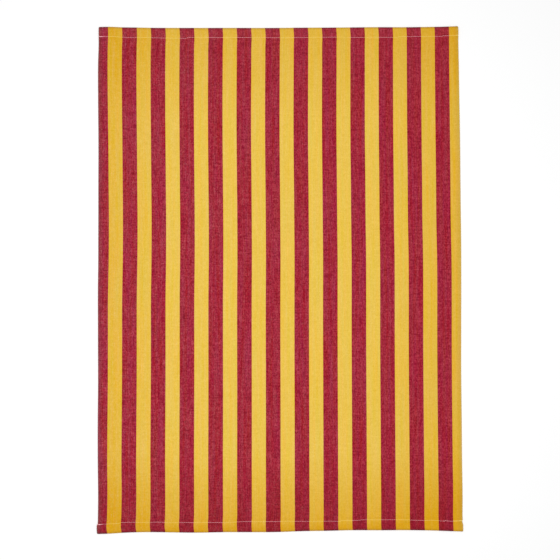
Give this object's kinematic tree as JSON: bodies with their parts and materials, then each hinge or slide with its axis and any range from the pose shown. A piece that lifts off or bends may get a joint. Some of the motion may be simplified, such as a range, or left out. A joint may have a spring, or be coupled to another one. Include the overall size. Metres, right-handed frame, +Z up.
{
  "type": "tea towel",
  "caption": "Flat woven cotton tea towel with lengthwise stripes, selvedge long sides and a narrow sewn hem at each short end.",
  "frame": {"origin": "on the surface that the towel lies on, under the middle of its outline", "axes": "+X across the towel from left to right, +Y along the stripes towards the top hem, +Z up out of the face"},
  "size_m": [0.5042, 0.7018, 0.0022],
  "materials": {
    "striped_cotton": "matte plain-woven cotton in even red and yellow lengthwise stripes"
  },
  "bodies": {
    "root": {"towel_cloth": "striped_cotton"}
  },
  "joints": []
}
